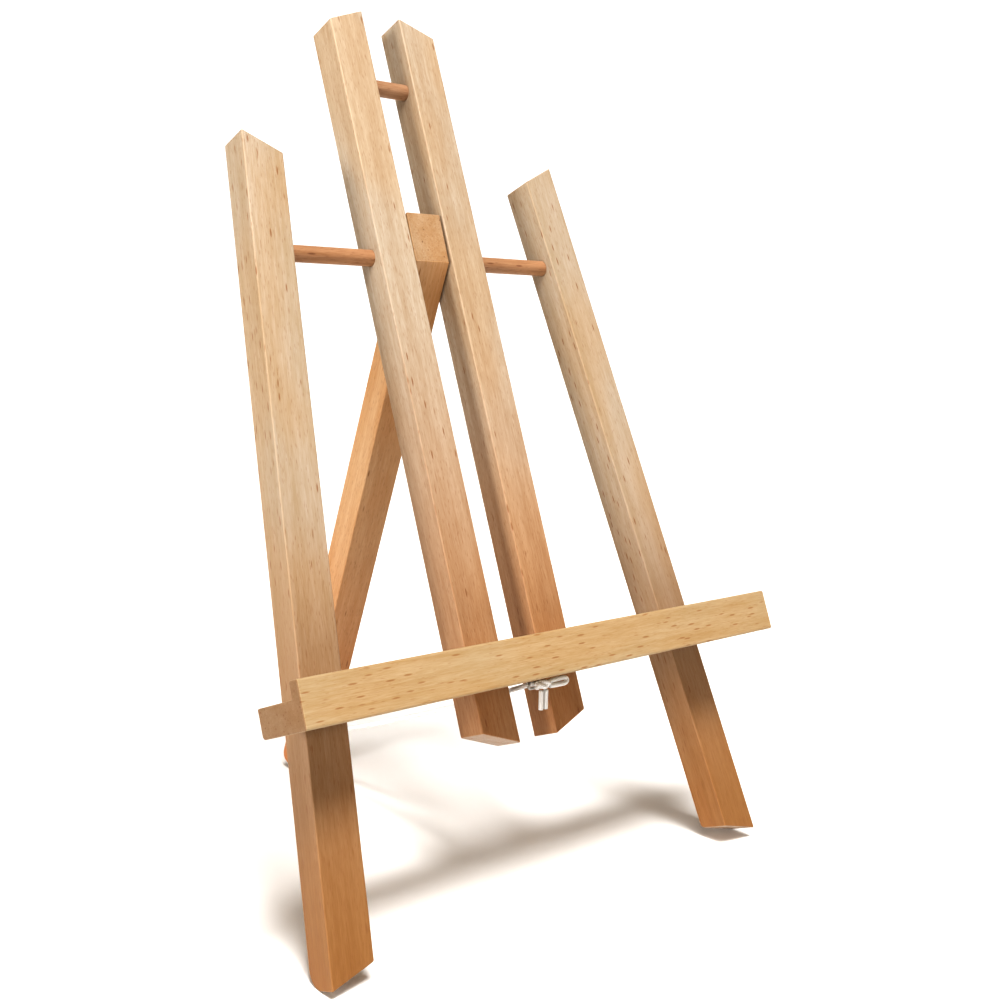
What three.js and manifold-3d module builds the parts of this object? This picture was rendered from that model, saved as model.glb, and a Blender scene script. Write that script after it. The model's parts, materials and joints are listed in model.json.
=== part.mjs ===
// Tabletop easel: four beech bars in a leaning frame, two cross dowels, an L-shaped ledge,
// and a rear leg that folds on the long dowel until a doubled cord stops it.
//
// Row frame: millimetres, +Z up, the front faces -Y, +X is the viewer's right.
// The origin is the middle of the easel's footprint, on the table.
//
// The frame is modelled upright about the hinge, in "frame axes": x across, z up the bars,
// y backwards through their thickness, with 0 on the long dowel's axis. A turned group then
// leans it back. The rear leg is modelled the same way and turned the other way.
import * as THREE from "three";
import { mergeVertices } from "three/addons/utils/BufferGeometryUtils.js";
import Module from "manifold-3d";

const wasm = await Module();
wasm.setup();

// ---------------------------------------------------------------- driving dimensions, mm
const GAP = 0.3;               // air between pieces that touch or are glued
const BAR_WIDTH = 20.4;        // every bar is cut from the same beech strip
const BAR_THICKNESS = 17.3;
const BAR_LENGTH = 369;        // long edge of a front bar
const MITRE_DEG = 21;          // saw angle on both ends of each front bar
const LEAN_DEG = 21.1;         // frame, back from upright
const OPEN_DEG = 42.3;         // rear leg, away from the frame when the cord is tight

const REAR_CLEARANCE = 1.1;    // air on each side of the rear leg, between the centre bars
const CENTRE_TOP = 129.8;      // long edge of a centre bar above the hinge
const SPLAY_DEG = 5.57;        // outer leg, out from the centre line
const LEG_SPREAD = 88.98;      // outer leg's middle from the centre line, at the hinge
const LEG_TOP = 54.8;          // long edge of an outer leg beyond the hinge, along the leg

const BAR_EDGE_ROUND = 0.6;    // softened lower edges of the front bars
const LEFT_FOOT_ROUND = 8;     // radius on the back edge of the left foot
const RIGHT_FOOT_ROUND = 2;
const REAR_FOOT_ROUND = 5;     // radius on the back edge of the rear leg's foot
const REAR_TOE_ROUND = 2;      // radius on its front edge, which stands on the table

const REAR_HOLE_OFFSET = 1;    // rear leg's pivot bore, in front of the middle of its thickness
const REAR_TOP = 22.6;         // long point of the rear leg beyond the hinge
const REAR_MITRE_DEG = 49;

const DOWEL_RADIUS = 4;
const DOWEL_CHAMFER = 0.8;
const DOWEL_FIT = 0.3;         // bore radius minus dowel radius
const CROSS_DOWEL_SEAT = 12;   // how deep the long dowel sits in each outer leg
const TOP_DOWEL_UP = 92.7;     // short dowel above the hinge
const TOP_DOWEL_SEAT = 12;

const LEDGE_LENGTH = 279;
const LEDGE_DEPTH = 35.3;
const LEDGE_HEIGHT = 19.9;
const SHELF_THICKNESS = 12.6;
const LIP_THICKNESS = 6.4;
const LEDGE_DOWN = 212.95;     // underside of the ledge below the hinge
const LEDGE_ROUND = 1.6;       // back lower edge of the ledge

const SCREW_RADIUS = 1.75;
const SCREW_HEAD_RADIUS = 3.6;
const SCREW_HEAD_HEIGHT = 2.6;
const SCREW_LENGTH = 30;
const SCREW_TIP = 4;
const SCREW_SLOT_WIDTH = 0.9;
const SCREW_SLOT_DEPTH = 1.1;

const STAPLE_FORWARD = 4.5;    // staple in front of the bars, under the ledge
const STAPLE_WIRE_RADIUS = 0.6;
const STAPLE_WIDTH = 7.4;      // between the middles of its two prongs
const STAPLE_DROP = 3.4;       // middle of its crown below the ledge
const STAPLE_PRONG = 8;        // how far its prongs go into the shelf

const CORD_RADIUS = 1.15;
const CORD_SPACING = 2.7;      // between the middles of the two strands
const CORD_SAG = 2.5;
const CORD_CLEAR = 0.7;        // between the knot and the cord that comes out of it
const CORD_PROUD = 0.2;        // end of the cord past the back of the rear leg
const STAPLE_LEAD = 4;         // straight cord behind the staple
const HOLE_LEAD = 3.5;         // straight cord before and after the mouth of its hole
const CORD_HOLE_DOWN = 281;    // cord hole below the hinge, along the rear leg
const CORD_HOLE_RADIUS = 3.5;
const KNOT_FORWARD = 10.3;
const KNOT_HALF = [4, 3.2, 2.3];   // across, backwards, up
const LOOP_REACH = 16.5;       // end of the bow's loop from the middle of the knot
const LOOP_HALF_HEIGHT = 1.35;
const TAIL_LENGTH = 9;
const STOPPER_HALF = [4.8, 2.8, 4.4];

const ROUND_SIDES = 24;
const BORE_SIDES = 24;
const WIRE_SIDES = 10;
const CORD_SIDES = 8;
const KNOT_SIDES = 14;
const KNOT_RINGS = 10;
const LOOP_STEPS = 22;
const TAIL_STEPS = 4;
const STRAND_STEPS = 44;

const rad = THREE.MathUtils.degToRad;
const HALF_WIDTH = BAR_WIDTH / 2;
const HALF_THICKNESS = BAR_THICKNESS / 2;
const MITRE_RISE = Math.tan(rad(MITRE_DEG));
const LEAN = rad(LEAN_DEG);
const OPEN = rad(OPEN_DEG);
const BAR_GAP = BAR_WIDTH + 2 * REAR_CLEARANCE;
const SPLAY = rad(SPLAY_DEG);

// ---------------------------------------------------------------- materials
function finish(color, roughness, metalness = 0) {
  return new THREE.MeshStandardMaterial({ color, roughness, metalness });
}

const BEECH = () => finish(0xd3a06c, 0.55);
const BEECH_LIGHT = () => finish(0xdfb680, 0.55);
const DOWEL_WOOD = () => finish(0xc98d58, 0.5);
const STEEL = () => finish(0xb4b2ab, 0.35, 1);
const COTTON = () => finish(0xece9e2, 0.9);

// ---------------------------------------------------------------- solids
function toSolid(geometry) {
  const bare = geometry.clone();
  bare.deleteAttribute("normal");
  bare.deleteAttribute("uv");
  const merged = mergeVertices(bare, 1e-4);
  return new wasm.Manifold(new wasm.Mesh({
    numProp: 3,
    vertProperties: new Float32Array(merged.attributes.position.array),
    triVerts: new Uint32Array(merged.index.array),
  }));
}

function toGeometry(solid) {
  const mesh = solid.getMesh();
  const geometry = new THREE.BufferGeometry();
  geometry.setAttribute("position", new THREE.BufferAttribute(mesh.vertProperties, 3));
  geometry.setIndex(new THREE.BufferAttribute(mesh.triVerts, 1));
  geometry.computeVertexNormals();
  return geometry;
}

// Takes each cutter, a geometry already in place, out of the body.
function cut(body, cutters) {
  let solid = toSolid(body);
  for (const cutter of cutters) {
    solid = solid.subtract(toSolid(cutter));
  }
  return toGeometry(solid);
}

function named(name, geometry, material) {
  const mesh = new THREE.Mesh(geometry, material);
  mesh.name = name;
  return mesh;
}

// A side outline, given as (backwards, up) points, swept across the width of a bar about x = 0.
function sweepAcross(outline, width) {
  const geometry = new THREE.ExtrudeGeometry(outline, { depth: width, bevelEnabled: false });
  const place = new THREE.Matrix4().set(
    0, 0, 1, -width / 2,
    1, 0, 0, 0,
    0, 1, 0, 0,
    0, 0, 0, 1,
  );
  return geometry.applyMatrix4(place);
}

// Side outline of a bar: square at the top, its two bottom corners rounded.
function barOutline(top, bottom, frontRound, backRound) {
  const outline = new THREE.Shape();
  outline.moveTo(-HALF_THICKNESS, top);
  outline.lineTo(-HALF_THICKNESS, bottom + frontRound);
  outline.absarc(-HALF_THICKNESS + frontRound, bottom + frontRound, frontRound,
    Math.PI, 1.5 * Math.PI, false);
  outline.lineTo(HALF_THICKNESS - backRound, bottom);
  outline.absarc(HALF_THICKNESS - backRound, bottom + backRound, backRound,
    1.5 * Math.PI, 2 * Math.PI, false);
  outline.lineTo(HALF_THICKNESS, top);
  return outline;
}

// Cuts both ends of a bar at the saw angle: the side at long * x > 0 keeps the full length.
function mitreEnds(geometry, long) {
  const position = geometry.attributes.position;
  geometry.computeBoundingBox();
  const middle = (geometry.boundingBox.min.z + geometry.boundingBox.max.z) / 2;
  for (let i = 0; i < position.count; i++) {
    const short = MITRE_RISE * (HALF_WIDTH - long * position.getX(i));
    const inward = position.getZ(i) > middle ? -short : short;
    position.setZ(i, position.getZ(i) + inward);
  }
  return geometry;
}

// A cylinder along x, from low to high, at the height z and the depth y.
function rodAcross(radius, low, high, sides, z = 0, y = 0) {
  const geometry = new THREE.CylinderGeometry(radius, radius, high - low, sides);
  geometry.rotateZ(Math.PI / 2);
  return geometry.translate((low + high) / 2, y, z);
}

// A turned piece: (radius, height) points on a profile that starts and ends on the axis.
function turned(points, sides = ROUND_SIDES) {
  const profile = points.map(([r, h]) => new THREE.Vector2(r, h));
  return new THREE.LatheGeometry(profile, sides);
}

function dowel(length) {
  const half = length / 2;
  const tip = DOWEL_RADIUS - DOWEL_CHAMFER;
  const geometry = turned([
    [0, -half],
    [tip, -half],
    [DOWEL_RADIUS, -half + DOWEL_CHAMFER],
    [DOWEL_RADIUS, half - DOWEL_CHAMFER],
    [tip, half],
    [0, half],
  ]);
  return geometry.rotateZ(-Math.PI / 2);
}

// The hole of a countersunk wood screw, from the back face at y = 0 towards -y. It is the
// screw grown by the gap, and runs a head's height out of the face so that it cuts clean.
function screwHole() {
  const shank = SCREW_RADIUS + GAP;
  const head = SCREW_HEAD_RADIUS + GAP;
  return turned([
    [0, -SCREW_LENGTH - GAP],
    [shank, -SCREW_LENGTH + SCREW_TIP - GAP],
    [shank, -SCREW_HEAD_HEIGHT - GAP],
    [head, -GAP],
    [head, SCREW_HEAD_HEIGHT],
    [0, SCREW_HEAD_HEIGHT],
  ]);
}

// The screw itself, sunk by the gap, with a driver slot across its head.
function screwPiece() {
  const form = turned([
    [0, -SCREW_LENGTH],
    [SCREW_RADIUS, -SCREW_LENGTH + SCREW_TIP],
    [SCREW_RADIUS, -SCREW_HEAD_HEIGHT],
    [SCREW_HEAD_RADIUS, -GAP],
    [0, -GAP],
  ]);
  const slot = new THREE.BoxGeometry(
    2.2 * SCREW_HEAD_RADIUS, 2 * SCREW_SLOT_DEPTH, SCREW_SLOT_WIDTH);
  return cut(form, [slot.translate(0, -GAP, 0)]);
}

// ---------------------------------------------------------------- places in frame axes
const CENTRE_X = BAR_GAP / 2 + HALF_WIDTH;
const SHELF_MIDDLE = -LEDGE_DOWN + SHELF_THICKNESS / 2;
const SCREW_HEAD_Y = HALF_THICKNESS;

// Middle line of an outer leg, at a height in frame axes.
const legX = (z) => LEG_SPREAD - z * Math.tan(SPLAY);
const screwPlaces = [
  ["ledge_screw_left_leg", -legX(SHELF_MIDDLE)],
  ["ledge_screw_left_bar", -CENTRE_X],
  ["ledge_screw_right_bar", CENTRE_X],
  ["ledge_screw_right_leg", legX(SHELF_MIDDLE)],
];
const screwCutters = screwPlaces.map(([, x]) =>
  screwHole().translate(x, SCREW_HEAD_Y, SHELF_MIDDLE));

const crossHalf = LEG_SPREAD - HALF_WIDTH / Math.cos(SPLAY) + CROSS_DOWEL_SEAT;
const topHalf = BAR_GAP / 2 + TOP_DOWEL_SEAT;
const crossBore = rodAcross(
  DOWEL_RADIUS + DOWEL_FIT, -crossHalf - GAP, crossHalf + GAP, BORE_SIDES);
const topBore = rodAcross(
  DOWEL_RADIUS + DOWEL_FIT, -topHalf - GAP, topHalf + GAP, BORE_SIDES, TOP_DOWEL_UP);

// ---------------------------------------------------------------- the leaning frame
const frame = new THREE.Group();

function centreBar(name, side) {
  const outline = barOutline(
    CENTRE_TOP, CENTRE_TOP - BAR_LENGTH, BAR_EDGE_ROUND, BAR_EDGE_ROUND);
  const bar = mitreEnds(sweepAcross(outline, BAR_WIDTH), -side);
  bar.translate(side * CENTRE_X, 0, 0);
  return named(name, cut(bar, [crossBore, topBore, ...screwCutters]), BEECH());
}
frame.add(centreBar("left_centre_bar", -1));
frame.add(centreBar("right_centre_bar", 1));

// The right leg has the strip's full length. The left one is as much longer as its
// larger round takes off, so that both stand on the table.
const legBottom = LEG_TOP - BAR_LENGTH;
const footLift = (round) => round * (Math.cos(LEAN) + Math.sin(LEAN) - 1);
const leftExtra = (footLift(LEFT_FOOT_ROUND) - footLift(RIGHT_FOOT_ROUND))
  / (Math.cos(LEAN) * Math.cos(SPLAY));

function outerLeg(name, side, bottom, round) {
  const outline = barOutline(LEG_TOP, bottom, BAR_EDGE_ROUND, round);
  const leg = mitreEnds(sweepAcross(outline, BAR_WIDTH), side);
  leg.rotateY(-side * SPLAY);
  leg.translate(side * LEG_SPREAD, 0, 0);
  return named(name, cut(leg, [crossBore, ...screwCutters]), BEECH_LIGHT());
}
frame.add(outerLeg("left_leg", -1, legBottom - leftExtra, LEFT_FOOT_ROUND));
frame.add(outerLeg("right_leg", 1, legBottom, RIGHT_FOOT_ROUND));

frame.add(named("cross_dowel", dowel(2 * crossHalf), DOWEL_WOOD()));
const topDowel = named("top_dowel", dowel(2 * topHalf), DOWEL_WOOD());
topDowel.position.z = TOP_DOWEL_UP;
frame.add(topDowel);

// ---------------------------------------------------------------- ledge and its hardware
// Ledge section as (backwards, up): a shelf against the bars and a lip along its front.
function ledgeOutline() {
  const back = -HALF_THICKNESS - GAP;
  const front = -HALF_THICKNESS - LEDGE_DEPTH;
  const under = -LEDGE_DOWN;
  const outline = new THREE.Shape();
  outline.moveTo(front, under);
  outline.lineTo(back - LEDGE_ROUND, under);
  outline.absarc(back - LEDGE_ROUND, under + LEDGE_ROUND, LEDGE_ROUND,
    1.5 * Math.PI, 2 * Math.PI, false);
  outline.lineTo(back, under + SHELF_THICKNESS);
  outline.lineTo(front + LIP_THICKNESS, under + SHELF_THICKNESS);
  outline.lineTo(front + LIP_THICKNESS, under + LEDGE_HEIGHT);
  outline.lineTo(front, under + LEDGE_HEIGHT);
  return outline;
}

// ---------------------------------------------------------------- staple under the ledge
const STAPLE_Y = -HALF_THICKNESS - STAPLE_FORWARD;

// A straight wire between two points in frame axes, as a closed cylinder.
function wire(from, to, radius) {
  const along = new THREE.Vector3().subVectors(to, from);
  const geometry = new THREE.CylinderGeometry(radius, radius, along.length(), WIRE_SIDES);
  const up = new THREE.Vector3(0, 1, 0);
  const turn = new THREE.Quaternion().setFromUnitVectors(up, along.clone().normalize());
  geometry.applyQuaternion(turn);
  const middle = new THREE.Vector3().addVectors(from, to).multiplyScalar(0.5);
  return geometry.translate(middle.x, middle.y, middle.z);
}

function stapleForm(clearance) {
  const radius = STAPLE_WIRE_RADIUS + clearance;
  const side = STAPLE_WIDTH / 2;
  const crown = -LEDGE_DOWN - STAPLE_DROP;
  const tip = -LEDGE_DOWN + STAPLE_PRONG + clearance;
  let solid = null;
  for (const x of [-side, side]) {
    const prong = toSolid(wire(
      new THREE.Vector3(x, STAPLE_Y, crown), new THREE.Vector3(x, STAPLE_Y, tip), radius));
    solid = solid ? solid.add(prong) : prong;
  }
  const bar = wire(new THREE.Vector3(-side - radius, STAPLE_Y, crown),
    new THREE.Vector3(side + radius, STAPLE_Y, crown), radius);
  return toGeometry(solid.add(toSolid(bar)));
}

const ledgeBody = sweepAcross(ledgeOutline(), LEDGE_LENGTH);
frame.add(named("ledge", cut(ledgeBody, [...screwCutters, stapleForm(GAP)]), BEECH_LIGHT()));
frame.add(named("cord_staple", stapleForm(0), STEEL()));

for (const [name, x] of screwPlaces) {
  const screw = named(name, screwPiece(), STEEL());
  screw.position.set(x, SCREW_HEAD_Y, SHELF_MIDDLE);
  frame.add(screw);
}

// ---------------------------------------------------------------- rear leg
const REAR_TURN = OPEN - LEAN;
const REAR_FRONT = -HALF_THICKNESS + REAR_HOLE_OFFSET;
const REAR_BACK = HALF_THICKNESS + REAR_HOLE_OFFSET;

// Height of the table against the hinge, from the right foot, and from it the length
// that stands the rear leg's front edge on the same table.
const footZ = HALF_WIDTH * Math.sin(SPLAY) + legBottom * Math.cos(SPLAY);
const tableZ = footZ * Math.cos(LEAN) - HALF_THICKNESS * Math.sin(LEAN)
  + footLift(RIGHT_FOOT_ROUND);
const toeLift = REAR_TOE_ROUND * (Math.cos(REAR_TURN) + Math.sin(REAR_TURN) - 1);
const REAR_BOTTOM = (tableZ - toeLift - REAR_FRONT * Math.sin(REAR_TURN)) / Math.cos(REAR_TURN);

function rearOutline() {
  const outline = new THREE.Shape();
  const drop = BAR_THICKNESS * Math.tan(rad(REAR_MITRE_DEG));
  outline.moveTo(REAR_BACK, REAR_TOP);
  outline.lineTo(REAR_FRONT, REAR_TOP - drop);
  outline.lineTo(REAR_FRONT, REAR_BOTTOM + REAR_TOE_ROUND);
  outline.absarc(REAR_FRONT + REAR_TOE_ROUND, REAR_BOTTOM + REAR_TOE_ROUND, REAR_TOE_ROUND,
    Math.PI, 1.5 * Math.PI, false);
  outline.lineTo(REAR_BACK - REAR_FOOT_ROUND, REAR_BOTTOM);
  outline.absarc(REAR_BACK - REAR_FOOT_ROUND, REAR_BOTTOM + REAR_FOOT_ROUND, REAR_FOOT_ROUND,
    1.5 * Math.PI, 2 * Math.PI, false);
  return outline;
}

const rear = new THREE.Group();
const pivotBore = rodAcross(DOWEL_RADIUS + DOWEL_FIT, -BAR_WIDTH, BAR_WIDTH, BORE_SIDES);
const cordHole = new THREE.CylinderGeometry(
  CORD_HOLE_RADIUS, CORD_HOLE_RADIUS, 2 * BAR_THICKNESS, BORE_SIDES);
cordHole.translate(0, 0, -CORD_HOLE_DOWN);
rear.add(named("rear_leg",
  cut(sweepAcross(rearOutline(), BAR_WIDTH), [pivotBore, cordHole]), BEECH()));

// ---------------------------------------------------------------- cord
// A squashed ball about a point, for a knot pulled tight.
function knot(half, x, y, z) {
  const geometry = new THREE.SphereGeometry(1, KNOT_SIDES, KNOT_RINGS);
  geometry.scale(...half);
  return geometry.translate(x, y, z);
}

// A round cord along points, as one closed tube with flat ends.
function cordAlong(points, steps) {
  const section = new THREE.Shape();
  for (let i = 0; i < CORD_SIDES; i++) {
    const turn = (2 * Math.PI * (i + 0.5)) / CORD_SIDES;
    const [x, y] = [CORD_RADIUS * Math.cos(turn), CORD_RADIUS * Math.sin(turn)];
    if (i === 0) section.moveTo(x, y);
    else section.lineTo(x, y);
  }
  const curve = new THREE.CatmullRomCurve3(points, false, "centripetal");
  return new THREE.ExtrudeGeometry(section, { steps, extrudePath: curve, bevelEnabled: false });
}

const KNOT_Y = -HALF_THICKNESS - KNOT_FORWARD;
const KNOT_Z = -LEDGE_DOWN - GAP - KNOT_HALF[2];
frame.add(named("cord_knot", knot(KNOT_HALF, 0, KNOT_Y, KNOT_Z), COTTON()));

// The bow's loop leaves the knot's right side and comes back to it, one run over the other.
const loopStart = KNOT_HALF[0] + CORD_CLEAR;
const loopZ = -LEDGE_DOWN - 1.5 * GAP - CORD_RADIUS - LOOP_HALF_HEIGHT;
const loopPoints = [
  [loopStart, 0.55], [0.5 * LOOP_REACH, 1], [LOOP_REACH - 2.4, 0.85], [LOOP_REACH - CORD_RADIUS, 0],
  [LOOP_REACH - 2.6, -1], [0.55 * LOOP_REACH, -1.15], [loopStart, -0.75],
].map(([x, rise]) => new THREE.Vector3(x, KNOT_Y, loopZ + rise * LOOP_HALF_HEIGHT));
frame.add(named("cord_loop", cordAlong(loopPoints, LOOP_STEPS), COTTON()));

// Two cut ends hang straight down from the knot.
const down = new THREE.Vector3(0, Math.sin(LEAN), -Math.cos(LEAN));
for (const [name, side] of [["cord_tail_left", -1], ["cord_tail_right", 1]]) {
  const top = new THREE.Vector3(side * (CORD_RADIUS + GAP), KNOT_Y, KNOT_Z - KNOT_HALF[2] - GAP);
  const points = [0, 0.35, 0.7, 1].map((t) => top.clone().addScaledVector(down, t * TAIL_LENGTH));
  frame.add(named(name, cordAlong(points, TAIL_STEPS), COTTON()));
}

// From the knot back through the staple, with a little sag, to the hole in the rear leg and
// through it. Points are about the hinge, with the lean already in them.
const leaned = (y, z, turn) => [
  y * Math.cos(turn) - z * Math.sin(turn),
  y * Math.sin(turn) + z * Math.cos(turn),
];
const strandZ = -LEDGE_DOWN - GAP - CORD_RADIUS;
const knotBack = KNOT_Y + KNOT_HALF[1] + CORD_CLEAR;
const start = leaned(knotBack, strandZ, -LEAN);
const leave = leaned(STAPLE_Y + STAPLE_LEAD, strandZ, -LEAN);
const mouth = leaned(REAR_FRONT - HOLE_LEAD, -CORD_HOLE_DOWN - GAP, REAR_TURN);
const inside = leaned(REAR_FRONT + HOLE_LEAD, -CORD_HOLE_DOWN, REAR_TURN);
const exit = leaned(REAR_BACK + CORD_PROUD, -CORD_HOLE_DOWN, REAR_TURN);

function strandPoints(x) {
  const points = [start, leave];
  for (const t of [0.25, 0.5, 0.75]) {
    const y = leave[0] + t * (mouth[0] - leave[0]);
    const z = leave[1] + t * (mouth[1] - leave[1]) - CORD_SAG * 4 * t * (1 - t);
    points.push([y, z]);
  }
  points.push(mouth, inside, exit);
  return points.map(([y, z]) => new THREE.Vector3(x, y, z));
}

const hinge = new THREE.Group();
for (const [name, side] of [["cord_strand_left", -1], ["cord_strand_right", 1]]) {
  const points = strandPoints(side * CORD_SPACING / 2);
  hinge.add(named(name, cordAlong(points, STRAND_STEPS), COTTON()));
}
rear.add(named("cord_stopper_knot",
  knot(STOPPER_HALF, 0, REAR_BACK + CORD_PROUD + GAP + STOPPER_HALF[1], -CORD_HOLE_DOWN),
  COTTON()));

// ---------------------------------------------------------------- assembly
frame.rotation.x = -LEAN;
rear.rotation.x = REAR_TURN;
hinge.add(frame, rear);

// Stands the easel on z = 0 with the middle of its footprint at the origin.
const easel = new THREE.Group();
easel.name = "tabletop_easel";
easel.add(hinge);
easel.updateMatrixWorld(true);
const box = new THREE.Box3().setFromObject(easel, true);
hinge.position.set(0, -(box.min.y + box.max.y) / 2, -box.min.z);
easel.updateMatrixWorld(true);

export default easel;
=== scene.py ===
# %% [markdown]
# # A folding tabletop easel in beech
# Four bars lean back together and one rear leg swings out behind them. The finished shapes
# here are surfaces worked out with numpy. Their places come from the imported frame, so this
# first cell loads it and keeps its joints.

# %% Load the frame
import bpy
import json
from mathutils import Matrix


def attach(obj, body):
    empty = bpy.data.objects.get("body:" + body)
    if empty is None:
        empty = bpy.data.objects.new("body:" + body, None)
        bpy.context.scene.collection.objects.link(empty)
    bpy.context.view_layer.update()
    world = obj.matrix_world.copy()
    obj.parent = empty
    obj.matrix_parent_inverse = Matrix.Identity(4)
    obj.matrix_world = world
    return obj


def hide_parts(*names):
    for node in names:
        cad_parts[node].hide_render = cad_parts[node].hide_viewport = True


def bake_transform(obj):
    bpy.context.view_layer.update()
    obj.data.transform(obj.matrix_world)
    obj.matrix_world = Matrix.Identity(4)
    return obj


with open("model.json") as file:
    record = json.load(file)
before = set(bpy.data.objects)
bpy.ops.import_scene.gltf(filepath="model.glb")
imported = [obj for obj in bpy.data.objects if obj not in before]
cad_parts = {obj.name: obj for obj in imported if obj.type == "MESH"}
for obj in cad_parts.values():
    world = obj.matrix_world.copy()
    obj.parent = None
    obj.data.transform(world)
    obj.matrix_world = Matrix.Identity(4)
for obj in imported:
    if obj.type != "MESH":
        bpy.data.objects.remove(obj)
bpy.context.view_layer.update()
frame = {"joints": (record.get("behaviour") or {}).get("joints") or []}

import json
import math

import bmesh
import bpy
import numpy as np
from mathutils import Matrix, Vector

HINGE = np.array(frame["joints"][0]["pos_m"])

# %% [markdown]
# ## Sizes
# A joiner cuts this easel from one strip of beech and two dowels. The strip, the angles and
# the places along it are written once, in millimetres, and turned to metres here.

# %% Sizes of the strip, the ledge and the hardware
MM = 0.001
STRIP_WIDTH = 20.4 * MM
STRIP_THICKNESS = 17.3 * MM
BAR_LENGTH = 369 * MM
MITRE = math.radians(21)
LEAN = math.radians(21.1)
REAR_TURN = math.radians(42.3) - LEAN  # the legs open by 42.3 degrees in all
SPLAY = math.radians(5.57)
REAR_CLEARANCE = 1.1 * MM        # on each side of the rear leg, between the centre bars
BAR_GAP = STRIP_WIDTH + 2 * REAR_CLEARANCE
CENTRE_TOP = 129.8 * MM
LEG_SPREAD = 88.98 * MM
LEG_TOP = 54.8 * MM
LEFT_FOOT_ROUND = 8 * MM
RIGHT_FOOT_ROUND = 2 * MM
REAR_FOOT_ROUND = 5 * MM
REAR_TOE_ROUND = 2 * MM
ARRIS = 0.7 * MM                 # sanded edge along every bar
SEAM = 0.3 * MM                  # glue line between the ledge and the bars

HALF_WIDTH = STRIP_WIDTH / 2
HALF_THICKNESS = STRIP_THICKNESS / 2
CENTRE_X = BAR_GAP / 2 + HALF_WIDTH
REAR_OFFSET = 1 * MM             # the rear leg's middle, behind the hinge
REAR_FRONT = REAR_OFFSET - HALF_THICKNESS
REAR_BACK = REAR_OFFSET + HALF_THICKNESS
REAR_TOP = 22.6 * MM
REAR_MITRE = math.radians(49)

DOWEL_RADIUS = 4 * MM
DOWEL_CHAMFER = 0.8 * MM
DOWEL_SEAT = 12 * MM             # how deep a dowel's end goes into a bar
TOP_DOWEL_UP = 92.7 * MM
BORE_CLEAR = 0.15 * MM
BORE_RADIUS = DOWEL_RADIUS + BORE_CLEAR

LEDGE_LENGTH = 279 * MM
LEDGE_DEPTH = 35.3 * MM
LEDGE_HEIGHT = 19.9 * MM
SHELF_THICKNESS = 12.6 * MM
LIP_THICKNESS = 6.4 * MM
LEDGE_DOWN = 212.95 * MM
LEDGE_ARRIS = 1.1 * MM
LEDGE_BACK_ROUND = 1.6 * MM
print("strip", STRIP_WIDTH, "x", STRIP_THICKNESS, "m, bars", BAR_LENGTH, "m long")

# %% [markdown]
# ## Upright axes
# The bars are easiest to shape standing upright about the hinge, x across, y backwards and z
# up the bar. Two matrices then lean the front frame back and swing the rear leg out.

# %% Matrices from the upright axes to the table
def turned_about_hinge(angle):
    """Turn by the angle about the x axis, then move the origin to the hinge."""
    return Matrix.Translation(Vector(HINGE)) @ Matrix.Rotation(angle, 4, "X")


LEANING = turned_about_hinge(-LEAN)
SWUNG = turned_about_hinge(REAR_TURN)


def placed(points, matrix):
    """Every row of points, turned and moved by a 4 x 4 matrix."""
    matrix = np.array(matrix)
    return np.asarray(points, float) @ matrix[:3, :3].T + matrix[:3, 3]


print("top of a centre bar", placed([[0, 0, CENTRE_TOP]], LEANING).round(4))

# %% [markdown]
# ## The camera
# A camera a little above the ledge and well to the left shows the side of every bar. Its lens
# is a mild portrait length, so the near foot looks bigger than the far one.

# %% Camera
CAMERA_PLACE = (-0.37721, -0.50716, 0.26149)
CAMERA_TURN_DEG = (82.146, -1.1213, -40.1453)
CAMERA_LENS = 44.966
SENSOR_WIDTH = 36
NEAR_CLIP = 0.01


def add_camera():
    """Puts the camera at its place and makes it the scene's own."""
    data = bpy.data.cameras.new("camera")
    data.lens = CAMERA_LENS
    data.sensor_width = SENSOR_WIDTH
    data.clip_start = NEAR_CLIP
    camera = bpy.data.objects.new("camera", data)
    camera.location = CAMERA_PLACE
    camera.rotation_euler = [math.radians(turn) for turn in CAMERA_TURN_DEG]
    bpy.context.scene.collection.objects.link(camera)
    bpy.context.scene.camera = camera
    return camera


print("camera looks from", tuple(add_camera().location))

# %% [markdown]
# ## Shader maths in plain Python
# A wood finish is a sum of patterns: fibres, bands and flecks. Writing that sum as Python is
# shorter than drawing nodes, so one small class wraps a node's socket and its operators add
# the Math nodes.

# %% A socket that can be added and multiplied
class Signal:
    """One output of a shader node, which Python's operators can do arithmetic on."""

    def __init__(self, finish, socket):
        self.finish = finish
        self.socket = socket

    def maths(self, operation, first, second):
        """A Math node on two signals or numbers."""
        return self.finish.node("ShaderNodeMath", {"operation": operation}, {0: first, 1: second})

    def __add__(self, other):
        return self.maths("ADD", self, other)

    def __sub__(self, other):
        return self.maths("SUBTRACT", self, other)

    def __mul__(self, other):
        return self.maths("MULTIPLY", self, other)

    def __rsub__(self, other):
        return self.maths("SUBTRACT", other, self)

    __radd__ = __add__
    __rmul__ = __mul__


# %% A finish: one material, one way of adding nodes
def set_stops(ramp, stops):
    """Gives a colour ramp its stops, as (position, colour) pairs."""
    while len(ramp.elements) < len(stops):
        ramp.elements.new(0.5)
    for element, (position, colour) in zip(ramp.elements, stops):
        element.position = position
        element.color = (*colour, 1)


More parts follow.
